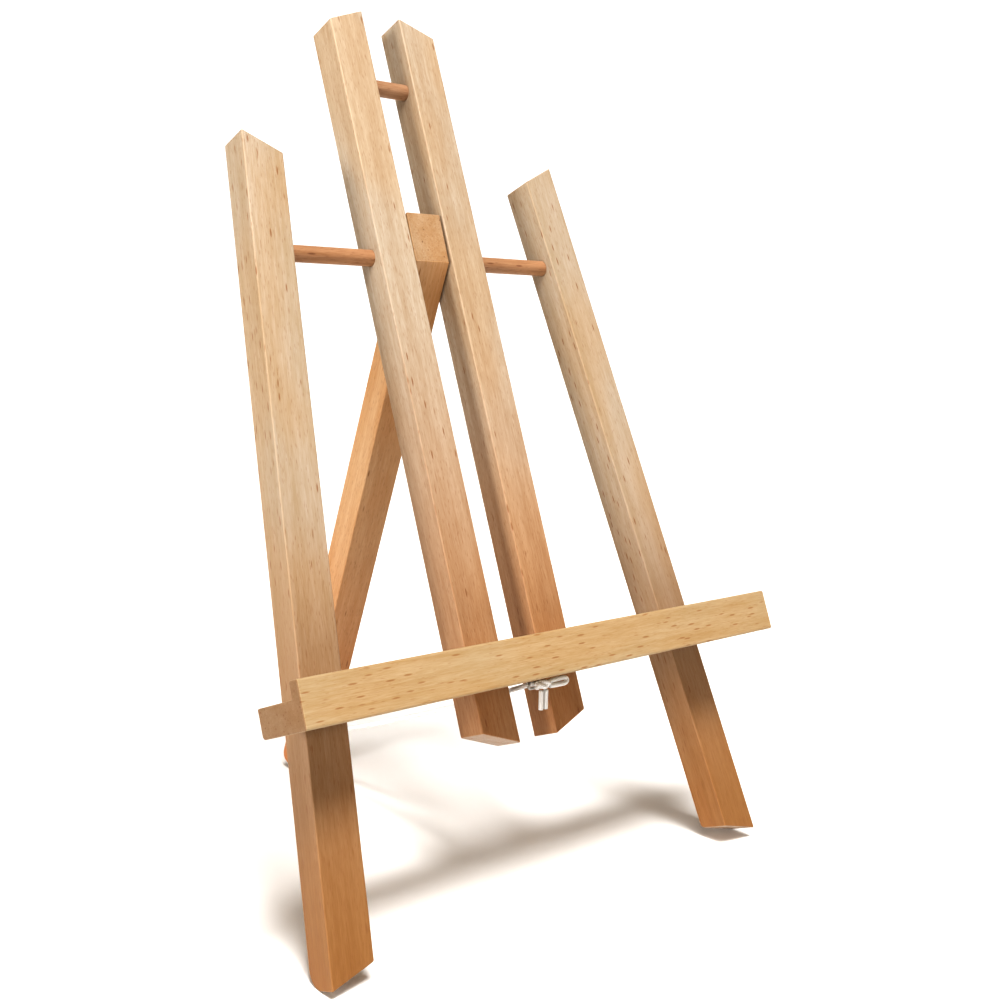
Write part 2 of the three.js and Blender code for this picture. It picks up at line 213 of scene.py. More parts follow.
class Finish:
    """A material with a Principled shader, and the method that adds any other node."""

    def __init__(self, name, **constants):
        self.material = bpy.data.materials.new(name)
        self.material.use_nodes = True
        self.tree = self.material.node_tree
        self.shader = self.tree.nodes["Principled BSDF"]
        for socket, value in constants.items():
            self.shader.inputs[socket.replace("_", " ")].default_value = value

    def node(self, kind, settings, values, output=0):
        """Adds a node, sets its settings, then fills its sockets with values or links."""
        node = self.tree.nodes.new(kind)
        for key, value in settings.items():
            if key == "stops":
                set_stops(node.color_ramp, value)
            else:
                setattr(node, key, value)
        for key, value in values.items():
            self.feed(node.inputs[key], value)
        return Signal(self, node.outputs[output])

    def feed(self, socket, value):
        """Links a signal to a socket, or sets the socket's own number or colour."""
        if isinstance(value, Signal):
            self.tree.links.new(value.socket, socket)
        else:
            socket.default_value = value

    def show(self, **sockets):
        """Feeds the shader's own sockets, written with _ for a space."""
        for socket, value in sockets.items():
            self.feed(self.shader.inputs[socket.replace("_", " ")], value)

    def attribute(self, name, output="Vector"):
        """What a piece's mesh stores under that name."""
        return self.node("ShaderNodeAttribute", {"attribute_name": name}, {}, output)

    def stretched(self, place, scale):
        """The place with each of its three numbers multiplied by its own scale."""
        return self.node("ShaderNodeVectorMath", {"operation": "MULTIPLY"}, {0: place, 1: scale})

    def noise(self, place, scale, detail=2.0, rough=0.5):
        """Cloudy noise from 0 to 1, with features one over the scale apart."""
        return self.node("ShaderNodeTexNoise", {}, {
            "Vector": self.stretched(place, scale), "Scale": 1.0, "Detail": detail,
            "Roughness": rough})

    def step(self, value, low, high, start=0.0, end=1.0):
        """Eases from start to end as the value goes from low to high."""
        return self.node("ShaderNodeMapRange", {"interpolation_type": "SMOOTHSTEP"}, {
            "Value": value, "From Min": low, "From Max": high, "To Min": start, "To Max": end})

    def ramp(self, value, stops):
        """Colours at positions from 0 to 1, blended in between."""
        return self.node("ShaderNodeValToRGB", {"stops": stops}, {"Fac": value})

    def mix(self, share, first, second, blend="MIX"):
        """The first colour, with a share of the second blended in."""
        return self.node("ShaderNodeMix", {"data_type": "RGBA", "blend_type": blend}, {
            0: share, 6: first, 7: second}, 2)

    def bump(self, height, distance, strength):
        """The normal of a surface raised by a height from 0 to 1 times the distance."""
        return self.node("ShaderNodeBump", {}, {
            "Height": height, "Distance": distance, "Strength": strength})


print("finishes are written as sums of patterns")

# %% [markdown]
# ## Beech
# Planed beech is pale and pinkish, with hair-fine fibres, slow bands where the rings were
# sawn through, and many short brown flecks where a ray of the tree was cut across. All of
# them run along the bar, so the pattern is read from an attribute named grain: across,
# through and along the piece, in metres, taken from a different part of the plank each time.
# The colour is painted darker and warmer towards the foot, as shade, and sawn ends have a tone of
# their own.

# %% Beech finish
RING_SCALE = (95, 150, 4.5)      # noise scales in 1/m: across, through and along the grain
STREAK_SCALE = (650, 650, 40)
FIBRE_SCALE = (2600, 2600, 160)
PATCH_SCALE = (28, 28, 11)
PORE_SCALE = (1500, 1500, 150)
RING_SHARE, STREAK_SHARE, FIBRE_SHARE = 0.36, 0.40, 0.24
TONE_STOPS = (0.38, 0.51, 0.62)
PATCH_TONE = (1.0, 0.87, 0.70, 1)
PATCH_SHARE = 0.55
# Painted shade: where the darkening towards the foot begins
PAINTED_SHADE_FROM = 0.35                 # how far down a strip it starts to warm
DASH_CELL = (2.3 * MM, 2.1 * MM, 12 * MM)
TICK_CELL = (1.0 * MM, 1.0 * MM, 5 * MM)
DASH_SIZE, TICK_SIZE = 0.25, 0.29
FLECK_CORE = 0.4                 # the part of a fleck that has its full strength
CHANCE_EDGE = 0.06               # how softly a cell's chance decides whether it has a fleck
TICK_SHARE = 0.85
DASH_DEPTH, TICK_DEPTH, PORE_DEPTH = 0.8, 0.36, 0.18
SATIN = 0.46
GRAIN_RELIEF = 0.12 * MM
GRAIN_BUMP = 0.35


def flecks(finish, grain, cell, size, share):
    """Lens-shaped spots: near a random point of a stretched lattice, in a share of its cells.

    The distance to the nearest point, in cells, is under size inside a fleck.
    """
    lattice = [1 / length for length in cell]
    place = finish.stretched(grain, lattice)
    settings = {"feature": "F1", "distance": "EUCLIDEAN"}
    near = finish.node("ShaderNodeTexVoronoi", settings, {"Vector": place, "Scale": 1.0})
    lot = finish.node("ShaderNodeTexVoronoi", settings, {"Vector": place, "Scale": 1.0}, 1)
    chance = finish.node("ShaderNodeSeparateColor", {}, {0: lot})
    inside = finish.step(near, size, FLECK_CORE * size)
    return inside * finish.step(chance, 1 - share, 1 - share + CHANCE_EDGE)


def beech(name, pale, deep, painted_foot_shade, fleck_colour, dash_share, sawn):
    """Fibres, rings and flecks on two tones of wood, with a satin coat.

    The tone is the sum of ring, streak and fibre, each times its share, and goes from deep to
    pale. The colour is multiplied by the foot tone towards the foot, which is painted shade,
    and by sawn on end grain.
    """
    finish = Finish(name, Coat_Weight=0.06, Coat_Roughness=0.4, Specular_IOR_Level=0.3)
    grain = finish.attribute("grain")
    ring = finish.noise(grain, RING_SCALE, 2.0, 0.55)
    streak = finish.noise(grain, STREAK_SCALE, 4.0, 0.66)
    fibre = finish.noise(grain, FIBRE_SCALE, 2.0, 0.6)
    patch = finish.step(finish.noise(grain, PATCH_SCALE, 1.0), 0.40, 0.64, 0.0, PATCH_SHARE)
    pore = finish.step(finish.noise(grain, PORE_SCALE, 1.0), 0.62, 0.74)
    dash = flecks(finish, grain, DASH_CELL, DASH_SIZE, dash_share)
    tick = flecks(finish, grain, TICK_CELL, TICK_SIZE, TICK_SHARE)
    end = finish.attribute("end_grain", "Fac")
    # Painted shade: from partway down a strip to its foot the colour darkens and warms, except on
    # sawn ends
    low = finish.step(finish.attribute("down", "Fac"), PAINTED_SHADE_FROM, 1.0) * (1 - end)

    tone = ring * RING_SHARE + streak * STREAK_SHARE + fibre * FIBRE_SHARE
    middle = [(a + b) / 2 for a, b in zip(pale, deep)]
    wood = finish.ramp(tone, list(zip(TONE_STOPS, (deep, middle, pale))))
    wood = finish.mix(patch, wood, PATCH_TONE, "MULTIPLY")
    wood = finish.mix(low, wood, (*painted_foot_shade, 1), "MULTIPLY")
    for mark, depth in ((dash, DASH_DEPTH), (tick, TICK_DEPTH), (pore, PORE_DEPTH)):
        wood = finish.mix(mark * depth, wood, (*fleck_colour, 1))
    wood = finish.mix(end, wood, (*sawn, 1), "MULTIPLY")
    rough = SATIN + streak * 0.16 + end * 0.2 - dash * 0.08
    height = fibre * 0.5 + streak * 0.4 - dash * 0.35 - pore * 0.5
    finish.show(Base_Color=wood, Roughness=rough,
                Normal=finish.bump(height, GRAIN_RELIEF, GRAIN_BUMP))
    print("finish", name)
    return finish.material


FLECK = (0.20, 0.085, 0.03)
PALE_END = (1.0, 0.95, 1.0)
TAWNY_END = (0.74, 0.78, 0.84)
BROWN_END = (0.64, 0.54, 0.50)
# Painted shade at the feet: what the colour of the bars and of the legs is multiplied by there
PAINTED_FOOT_SHADE_BARS = (0.87, 0.57, 0.35)
PAINTED_FOOT_SHADE_LEGS = (0.66, 0.40, 0.18)
BEECH = beech("beech_bars", pale=(0.43, 0.365, 0.29), deep=(0.33, 0.245, 0.165),
              painted_foot_shade=PAINTED_FOOT_SHADE_BARS, fleck_colour=FLECK, dash_share=0.25, sawn=PALE_END)
BEECH_REAR = beech("beech_rear", pale=(0.50, 0.33, 0.19), deep=(0.41, 0.235, 0.11),
                   painted_foot_shade=PAINTED_FOOT_SHADE_BARS, fleck_colour=FLECK, dash_share=0.25, sawn=TAWNY_END)
BEECH_LEGS = beech("beech_legs", pale=(0.395, 0.325, 0.255), deep=(0.32, 0.24, 0.155),
                   painted_foot_shade=PAINTED_FOOT_SHADE_LEGS, fleck_colour=FLECK, dash_share=0.25, sawn=PALE_END)
BEECH_LEDGE = beech("beech_ledge", pale=(0.395, 0.305, 0.195), deep=(0.325, 0.225, 0.115),
                    painted_foot_shade=PAINTED_FOOT_SHADE_BARS, fleck_colour=(0.25, 0.12, 0.045), dash_share=0.85,
                    sawn=BROWN_END)
DOWEL_WOOD = beech("beech_dowel", pale=(0.40, 0.245, 0.15), deep=(0.27, 0.145, 0.075),
                   painted_foot_shade=PAINTED_FOOT_SHADE_BARS, fleck_colour=(0.14, 0.055, 0.025), dash_share=0.3,
                   sawn=PALE_END)

# %% [markdown]
# ## Cotton cord and steel
# The cord is soft braided cotton, off-white, with painted shade in the dips between its yarns,
# and a little hairy. The screws and the staple are dull zinc, brighter where they were rubbed.

# %% Cotton and steel finishes
HAIR_SCALE = (5.5, 5.5, 900)
SOIL_SCALE = (0.8, 0.8, 60)
SOIL_TONE = (0.86, 0.80, 0.70, 1)
# The dark stops paint shade into the dips between yarns
YARN_STOPS = [(0.12, (0.44, 0.43, 0.41)), (0.45, (0.70, 0.70, 0.69)), (0.8, (0.82, 0.82, 0.81))]
SCRATCH_SCALE = (900, 4200, 900)
BLOOM_SCALE = (420, 420, 420)
ZINC_STOPS = [(0.3, (0.42, 0.41, 0.39)), (0.7, (0.62, 0.61, 0.58))]


def cotton():
    """Yarn colour by groove depth, darker in the grooves as painted shade, with fine fibres that
    follow the twist.
    """
    finish = Finish("cotton_cord", Specular_IOR_Level=0.2)
    way = finish.attribute("yarn")
    crest = finish.attribute("crest", "Fac")
    hair = finish.noise(way, HAIR_SCALE, 3.0, 0.65)
    soil = finish.step(finish.noise(way, SOIL_SCALE, 2.0), 0.45, 0.75, 0.0, 0.25)
    # Painted shade: the dips between yarns get the darker colours
    yarn = finish.ramp(crest * 0.55 + hair * 0.45, YARN_STOPS)
    yarn = finish.mix(soil, yarn, SOIL_TONE, "MULTIPLY")
    finish.show(Base_Color=yarn, Roughness=0.82 + hair * 0.15,
                Normal=finish.bump(hair, 0.15 * MM, 0.5))
    print("finish", finish.material.name)
    return finish.material


def zinc():
    """Grey metal with fine scratches and slightly uneven gloss."""
    finish = Finish("zinc_steel", Metallic=1.0)
    place = finish.node("ShaderNodeTexCoord", {}, {}, "Object")
    scratch = finish.noise(place, SCRATCH_SCALE, 3.0, 0.6)
    bloom = finish.noise(place, BLOOM_SCALE, 2.0)
    metal = finish.ramp(bloom, ZINC_STOPS)
    finish.show(Base_Color=metal, Roughness=0.28 + bloom * 0.2 + scratch * 0.12,
                Normal=finish.bump(scratch, 0.03 * MM, 0.25))
    print("finish", finish.material.name)
    return finish.material


COTTON = cotton()
ZINC = zinc()

# %% [markdown]
# ## From arrays to pieces
# A closed grid of points becomes a mesh by joining each row to the next. The two open ends
# are closed with one flat face each, and the faces are turned outwards.

# %% Grid to mesh
MERGE_WITHIN = 0.002 * MM
LARGEST_FACE = 100               # 50 is neutral, and at 100 the largest face decides


def grid_quads(rows, columns):
    """Four corners of every quad of a grid whose last column meets its first."""
    row, column = np.meshgrid(np.arange(rows - 1), np.arange(columns), indexing="ij")
    beside = (column + 1) % columns
    quads = np.stack([row * columns + column, row * columns + beside,
                      (row + 1) * columns + beside, (row + 1) * columns + column], axis=-1)
    return quads.reshape(-1, 4)


def tube_piece(name, points, material, ends=True):
    """A mesh object from a (rows, columns, 3) array: each row a ring, both ends capped.

    Without ends, the last ring is joined to the first, as in a closed loop of cord.
    """
    rows, columns = points.shape[:2]
    if ends:
        faces = grid_quads(rows, columns).tolist()
        faces.append(list(range(columns)))
        faces.append(list(range((rows - 1) * columns, rows * columns)))
    else:
        faces = (grid_quads(rows + 1, columns) % (rows * columns)).tolist()
    mesh = bpy.data.meshes.new(name)
    mesh.from_pydata(points.reshape(-1, 3), [], faces)
    outwards(mesh)
    mesh.materials.append(material)
    piece = bpy.data.objects.new(name, mesh)
    bpy.context.scene.collection.objects.link(piece)
    return piece


def outwards(mesh):
    """Merges touching points, turns every face outwards and shades it smooth."""
    form = bmesh.new()
    form.from_mesh(mesh)
    bmesh.ops.remove_doubles(form, verts=form.verts, dist=MERGE_WITHIN)
    bmesh.ops.recalc_face_normals(form, faces=form.faces)
    for face in form.faces:
        face.smooth = True
    form.to_mesh(mesh)
    form.free()


def crisp(piece):
    """Keeps flat faces flat beside their rounded edges and around their bores."""
    change = piece.modifiers.new("flat_faces", "WEIGHTED_NORMAL")
    change.weight = LARGEST_FACE


print("quads of a 3 x 4 grid:", len(grid_quads(3, 4)))

# %% [markdown]
# ## Cords
# The cord goes first, because its length has to be right. It is a doubled cotton cord, knotted
# in front of the bars, led back through a staple under the ledge to a hole in the rear leg,
# with a knot behind. Each strand is a round braid: a tube whose surface rises where a yarn
# comes to the top and dips where it goes under the next one.

# %% A braided tube along a path
CORD_DIAMETER = 2.3 * MM
BRAID_PITCH = 9 * MM
CORD_SIDES = 32
YARNS = 4                        # yarns that wind each way round the braid
YARN_RELIEF = 0.12               # depth of a dip, as a share of the radius
CURVE_STEPS = 40


def unit(vectors):
    """Each vector divided by its own length."""
    return vectors / np.linalg.norm(vectors, axis=-1, keepdims=True)


def smooth_path(points, spacing):
    """A smooth curve through given points, resampled at an even spacing.

    Between two points it is the cubic whose slope at each point is half the step from the
    point before it to the point after it.
    """
    points = np.asarray(points, float)
    before = np.vstack([2 * points[0] - points[1], points[:-2]])
    after = np.vstack([points[2:], 2 * points[-1] - points[-2]])
    start, end = points[:-1], points[1:]
    share = np.linspace(0, 1, CURVE_STEPS, endpoint=False)[None, :, None]
    slope_start = ((end - before) / 2)[:, None]
    slope_end = ((after - start) / 2)[:, None]
    start, end = start[:, None], end[:, None]
    dense = (start * (2 * share**3 - 3 * share**2 + 1) + end * (3 * share**2 - 2 * share**3)
             + slope_start * (share**3 - 2 * share**2 + share)
             + slope_end * (share**3 - share**2))
    dense = np.vstack([dense.reshape(-1, 3), points[-1]])
    return evenly(dense, spacing)


def evenly(path, spacing):
    """The same line with its points an even distance apart."""
    steps = np.linalg.norm(np.diff(path, axis=0), axis=1)
    along = np.concatenate([[0], np.cumsum(steps)])
    count = max(2, round(along[-1] / spacing) + 1)
    wanted = np.linspace(0, along[-1], count)
    return np.stack([np.interp(wanted, along, path[:, axis]) for axis in range(3)], axis=1)


def length_of(path):
    """The sum of the distances from each point to the next."""
    return float(np.linalg.norm(np.diff(path, axis=0), axis=1).sum())


def cord_piece(name, path, across, closed=False):
    """A round braid along a path.

    Each ring is a circle square to the path. Half the yarns wind one way round it and half
    the other, once in every braid pitch. The product of the two families' cosines is high
    where a yarn lies on top and low where it dives, and the radius follows it. The yarn
    attribute is the point's direction from the middle and its distance along, and crest is
    1 on top of a yarn and 0 in a dip.
    """
    if closed:
        tangent = unit(np.roll(path, -1, axis=0) - np.roll(path, 1, axis=0))
    else:
        tangent = unit(np.gradient(path, axis=0))
    side = unit(np.cross(tangent, np.broadcast_to(across, path.shape)))
    other = np.cross(tangent, side)
    step = np.linalg.norm(np.diff(path, axis=0), axis=1)
    along = np.concatenate([[0], np.cumsum(step)])[:, None]
    length = along[-1, 0] + (step[0] if closed else 0)
    turns = round(length / BRAID_PITCH) + 1
    round_it = 2 * np.pi * np.arange(CORD_SIDES)[None, :] / CORD_SIDES
    wound = 2 * np.pi * turns * along / length
    crest = 0.5 + 0.5 * np.cos(YARNS * (round_it + wound)) * np.cos(YARNS * (round_it - wound))
    radius = CORD_DIAMETER / 2 * (1 - YARN_RELIEF + YARN_RELIEF * crest)
    ring = (np.cos(round_it)[..., None] * side[:, None]
            + np.sin(round_it)[..., None] * other[:, None])
    points = path[:, None] + radius[..., None] * ring
    piece = tube_piece(name, points, COTTON, ends=not closed)
    way = np.stack(np.broadcast_arrays(np.cos(round_it), np.sin(round_it), along), axis=-1)
    write_attribute(piece, "yarn", "FLOAT_VECTOR", way.reshape(-1, 3))
    write_attribute(piece, "crest", "FLOAT", crest.reshape(-1))
    return piece


def write_attribute(piece, name, kind, values, domain="POINT"):
    """Stores one number or vector for every point or face of a piece."""
    layer = piece.data.attributes.new(name, kind, domain)
    field = "vector" if kind == "FLOAT_VECTOR" else "value"
    layer.data.foreach_set(field, np.ascontiguousarray(values, np.float32).ravel())


# %% The cord's route, in the upright axes
KNOT_Y = -HALF_THICKNESS - 10.3 * MM
KNOT_HALF = np.array([4, 3.2, 2.3]) * MM
KNOT_Z = -LEDGE_DOWN - SEAM - KNOT_HALF[2]
STAPLE_Y = -HALF_THICKNESS - 4.5 * MM
STAPLE_LEAD = 4 * MM
CORD_CLEAR = 0.7 * MM
STRAND_Z = -LEDGE_DOWN - SEAM - CORD_DIAMETER / 2
STRAND_X = 1.35 * MM
SAG = 2.5 * MM
HOLE_DOWN = 281 * MM
HOLE_RADIUS = 3.5 * MM
HOLE_LEAD = 3.5 * MM
MOUTH_DROP = 0.3 * MM
PROUD = 0.2 * MM                 # what shows of a strand behind the rear leg
PATH_STEP = 0.3 * MM
FRONT, BACK = "frame", "rear_leg"


def strand_path(x):
    """Straight under the ledge, nearly straight to the hole, and straight through it.

    At a share s of the way to the hole, the strand hangs 4 s (1 - s) times SAG low.
    """
    start, leave = placed([[x, KNOT_Y + KNOT_HALF[1] + CORD_CLEAR, STRAND_Z],
                           [x, STAPLE_Y + STAPLE_LEAD, STRAND_Z]], LEANING)
    mouth, inside, end = placed([[x, REAR_FRONT - HOLE_LEAD, -HOLE_DOWN - MOUTH_DROP],
                                 [x, REAR_FRONT + HOLE_LEAD, -HOLE_DOWN],
                                 [x, REAR_BACK + PROUD, -HOLE_DOWN]], SWUNG)
    share = np.array([0.25, 0.5, 0.75])[:, None]
    hanging = leave + share * (mouth - leave)
    hanging[:, 2] -= (SAG * 4 * share * (1 - share))[:, 0]
    return smooth_path(np.vstack([start, leave, hanging, mouth, inside, end]), PATH_STEP)


KNOT_STEPS = 260
KNOT_WAIST = 2.4
OUTWARD_PULL = (0.3, 1, 1)


def wound_knot(half):
    """The line of a knot pulled tight, filling a box of those half sizes.

    A turn t goes from 0 to 2 pi. The line goes twice round the x axis, at the distance
    KNOT_WAIST + cos 3t, while x = sin 3t weaves from side to side, which makes three crossings.
    """
    turn = 2 * np.pi * np.arange(KNOT_STEPS)[:, None] / KNOT_STEPS
    away = KNOT_WAIST + np.cos(3 * turn)
    line = np.hstack([np.sin(3 * turn), away * np.cos(2 * turn), away * np.sin(2 * turn)])
    reach = np.abs(line).max(axis=0)
    return line / reach * (np.asarray(half) - 0.5 * CORD_DIAMETER)


def knot_piece(name, half, centre, matrix):
    """A tight knot: a closed line of cord wound round its centre."""
    line = wound_knot(half)
    outward = unit(line * OUTWARD_PULL)
    path = placed(line + np.asarray(centre), matrix)
    away = outward @ np.array(matrix)[:3, :3].T
    tangent = np.roll(path, -1, axis=0) - np.roll(path, 1, axis=0)
    return cord_piece(name, path, np.cross(tangent, away), closed=True)


# %% Make the strands, the bow and the two knots
LOOP_REACH = 16.5 * MM
LOOP_HALF = 1.2 * MM
LOOP_TURN = 2.4 * MM             # where the loop starts to turn back, before its end
TAIL_LENGTH = 9 * MM
BOW_STEP = 0.25 * MM


def loop_path():
    """The bow's loop: out along the bottom of the ledge and back under itself."""
    start = KNOT_HALF[0] + SEAM
    middle = -LEDGE_DOWN - 1.5 * SEAM - CORD_DIAMETER / 2 - LOOP_HALF
    points = [(start, 0.75), (0.5 * LOOP_REACH, 1), (LOOP_REACH - LOOP_TURN, 1),
              (LOOP_REACH - CORD_DIAMETER / 2, 0), (LOOP_REACH - LOOP_TURN - 0.2 * MM, -1),
              (0.55 * LOOP_REACH, -1.05), (start, -0.85)]
    upright = [(x, KNOT_Y, middle + rise * LOOP_HALF) for x, rise in points]
    return smooth_path(placed(upright, LEANING), BOW_STEP)


def tail_path(side):
    """One cut end of the cord, hanging straight down from the knot."""
    top = placed([[side * (CORD_DIAMETER / 2 + SEAM), KNOT_Y,
                   KNOT_Z - KNOT_HALF[2] - SEAM]], LEANING)[0]
    drop = np.array([0, 0.35, 0.7, 1])[:, None] * np.array([0, 0, -TAIL_LENGTH])
    return smooth_path(top + drop, BOW_STEP)


ACROSS = (1, 0, 0)
BACKWARDS = tuple(LEANING.to_3x3() @ Vector((0, 1, 0)))
cord_knot = knot_piece("bow_knot", KNOT_HALF, (0, KNOT_Y, KNOT_Z), LEANING)
cord_loop = cord_piece("bow_loop", loop_path(), BACKWARDS)
tails = [cord_piece(name, tail_path(side), BACKWARDS)
         for name, side in (("bow_tail_left", -1), ("bow_tail_right", 1))]
STOPPER_HALF = np.array([4.8, 2.8, 4.4]) * MM
STOPPER_CLEAR = 0.5 * MM
STOPPER_Y = REAR_BACK + STOPPER_CLEAR + STOPPER_HALF[1]
stopper = knot_piece("stopper_knot_back", STOPPER_HALF, (0, STOPPER_Y, -HOLE_DOWN), SWUNG)

for piece, node in zip([cord_knot, cord_loop, *tails],
                       ["cord_knot", "cord_loop", "cord_tail_left", "cord_tail_right"]):
    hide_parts(node)
    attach(piece, FRONT)
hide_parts("cord_stopper_knot")
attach(stopper, BACK)

for name, side, on_it in (("strand_left", -1, [cord_knot, cord_loop, *tails]),
                          ("strand_right", 1, [stopper])):
    path = strand_path(side * STRAND_X)
    strand = cord_piece(name, path, ACROSS)
    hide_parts("cord_" + name)
    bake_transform(strand)
    print(name, "is", round(length_of(path), 4), "m long")

# %% [markdown]
# ## Rounded outlines
# Every wooden piece is a side outline swept across its width. The outline's corners are arcs,
# and towards each side face the whole outline draws in along a quarter circle, which is what
# sandpaper does to an edge. Offsetting an outline of arcs is easy: the centres stay and the
# radii change.

# %% Outline of arcs, drawn in by any distance
ARC_STEPS = 8
EDGE_STEPS = 7


def arc_outline(corners, radii):
    """Returns a function of an inset that gives the outline's (y, z) points.

    With outward normals m and n of the two edges at a corner, the arc's centre is the corner
    less radius times (m + n) / (1 + m.n), and a point is the centre plus radius less inset
    times a normal that turns from m to n. At an inner corner the radius counts as negative.
    """
    corners = np.asarray(corners, float)
    radii = np.asarray(radii, float)
    into = unit(corners - np.roll(corners, 1, axis=0))
    out = unit(np.roll(corners, -1, axis=0) - corners)
    first = np.stack([into[:, 1], -into[:, 0]], axis=1)
    last = np.stack([out[:, 1], -out[:, 0]], axis=1)
    turn = np.arctan2(into[:, 0] * out[:, 1] - into[:, 1] * out[:, 0], (into * out).sum(1))
    bend = np.sign(turn) * radii
    meet = (first + last) / (1 + (first * last).sum(1, keepdims=True))
    centre = corners - bend[:, None] * meet
    share = np.linspace(0, 1, ARC_STEPS)
    angle = np.arctan2(first[:, 1], first[:, 0])[:, None] + turn[:, None] * share
    normal = np.stack([np.cos(angle), np.sin(angle)], axis=-1)

    def drawn_in(inset):
        """The outline's points at one inset."""
        return (centre[:, None] + (bend[:, None, None] - inset) * normal).reshape(-1, 2)

    return drawn_in


def swept_across(outline, width, arris):
    """The outline carried across the width, drawn in at both sides by a quarter circle.

    At an angle a round the edge the inset is arris times (1 - sin a), and the distance in from
    the side face is arris times (1 - cos a).
    """
    angle = np.linspace(0, np.pi / 2, EDGE_STEPS)
    inset = arris * (1 - np.sin(angle))
    side = -width / 2 + arris * (1 - np.cos(angle))
    inset = np.concatenate([inset, inset[::-1]])
    x = np.concatenate([side, -side[::-1]])
    rings = []
    for place, points in zip(x, map(outline, inset)):
        rings.append(np.column_stack([np.full(len(points), place), points]))
    return np.stack(rings)


print("points in a plain outline:",
      len(arc_outline([(0, 0), (1, 0), (1, 1), (0, 1)], [0.1] * 4)(0)))

# %% [markdown]
# ## Bores and grain
# Dowel bores, the cord hole and the screw holes are cut with Boolean modifiers whose result
# is kept, so that nothing live is left on the piece. After that each point learns where it
# was in the plank.

# %% Cutting holes
BORE_SIDES = 48
PRONG_SIDES = 16


def round_bar(name, radius, start, end, sides=BORE_SIDES):
    """A cylinder between two points, as a ring at each end."""
    start, end = Vector(start), Vector(end)
    turn = (end - start).to_track_quat("Z", "Y").to_matrix()
    angle = 2 * np.pi * np.arange(sides) / sides
    ring = np.stack([radius * np.cos(angle), radius * np.sin(angle), 0 * angle], axis=1)
    ring = ring @ np.array(turn).T
    points = np.stack([ring + np.array(start), ring + np.array(end)])
    return tube_piece(name, points, ZINC)


def keep_result(piece):
    """Replaces the piece's mesh by what its modifiers make of it."""
    graph = bpy.context.evaluated_depsgraph_get()
    mesh = bpy.data.meshes.new_from_object(piece.evaluated_get(graph))
    piece.modifiers.clear()
    piece.data = mesh


def cut_away(piece, cutters):
    """Takes each cutter out of the piece, then throws the cutters away."""
    for cutter in cutters:
        change = piece.modifiers.new("hole", "BOOLEAN")
        change.operation = "DIFFERENCE"
        change.solver = "EXACT"
        change.object = cutter
    keep_result(piece)
    for cutter in cutters:
        bpy.data.objects.remove(cutter)


def points_of(piece):
    """All the points of a piece, one row each."""
    flat = np.empty(3 * len(piece.data.vertices), np.float32)
    piece.data.vertices.foreach_get("co", flat)
    return flat.reshape(-1, 3).astype(float)


END_GRAIN_TILT = 0.55           # a face whose normal leans this much along the grain is sawn
PLANK_STEP = np.array([0.083, 0.061, 0.47])


def give_grain(piece, own, along, plank_place, body, top=None):
    """Writes the grain, down and end_grain attributes from the piece's own upright axes.

    own is the matrix that took the piece out of those axes, and along is the axis that the
    fibres follow. The last of the three numbers of grain is always the one along the fibres.
    down goes from 0 at a strip's top to 1 a bar's length below it, and is 0 without a top.
    """
    order = [axis for axis in range(3) if axis != along] + [along]
    back = own.inverted()
    upright = placed(points_of(piece), back)
    write_attribute(piece, "grain", "FLOAT_VECTOR", upright[:, order] + PLANK_STEP * plank_place)
    down = (top - upright[:, 2]) / BAR_LENGTH if top is not None else 0 * upright[:, 2]
    write_attribute(piece, "down", "FLOAT", down)
    normals = np.empty(3 * len(piece.data.polygons), np.float32)
    piece.data.polygons.foreach_get("normal", normals)
    lean = normals.reshape(-1, 3) @ np.array(back)[:3, :3].T
    sawn = (np.abs(lean[:, along]) > END_GRAIN_TILT).astype(float)
    write_attribute(piece, "end_grain", "FLOAT", sawn, "FACE")
    piece.data.transform(body)
    piece.data.update()


def wooden(piece, node, rides_on):
    """Finishes a wooden piece: crisp faces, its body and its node."""
    crisp(piece)
    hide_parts(node)
    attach(piece, rides_on)
    print(piece.name, "has", len(piece.data.polygons), "faces")


# %% [markdown]
# ## Screws
# Four countersunk screws hold the ledge from behind. Only their slotted heads show, a hair
# below the backs of the bars. A screw is turned: a profile carried round its axis. The same
# profile, a little larger, cuts its hole.

# %% Screw profile and holes
SCREW_RADIUS = 1.75 * MM
HEAD_RADIUS = 3.6 * MM
HEAD_HEIGHT = 2.6 * MM
SCREW_LENGTH = 30 * MM
SLOT_WIDTH = 0.9 * MM
SLOT_DEPTH = 1.1 * MM
SLOT_ROUND = 0.15 * MM
HEAD_SUNK = 0.3 * MM             # how far the head's rim is below the bar's back
HOLE_CLEAR = 0.12 * MM
HOLE_OVERSHOOT = 2 * MM
POINT_LENGTH = 4 * MM
POINT_RADIUS = 0.1 * MM
CONE_STEP = 0.15 * MM            # how much narrower than the rim the cone ends
SLOT_ARRIS = 0.1 * MM
HEAD_FACE = [(HEAD_RADIUS - 0.12 * MM, -0.24 * MM), (0.4 * HEAD_RADIUS, -0.2 * MM)]
SHELF_MIDDLE = -LEDGE_DOWN + SHELF_THICKNESS / 2
TURNED_SIDES = 48


def lathe(profile):
    """Points of a (radius, height) profile carried once round the y axis, which is its height."""
    profile = np.asarray(profile, float)
    angle = 2 * np.pi * np.arange(TURNED_SIDES) / TURNED_SIDES
    radius, height = profile[:, :1], profile[:, 1:]
    x = radius * np.cos(angle)
    z = radius * np.sin(angle)
    return np.stack([x, np.broadcast_to(height, x.shape), z], axis=-1)


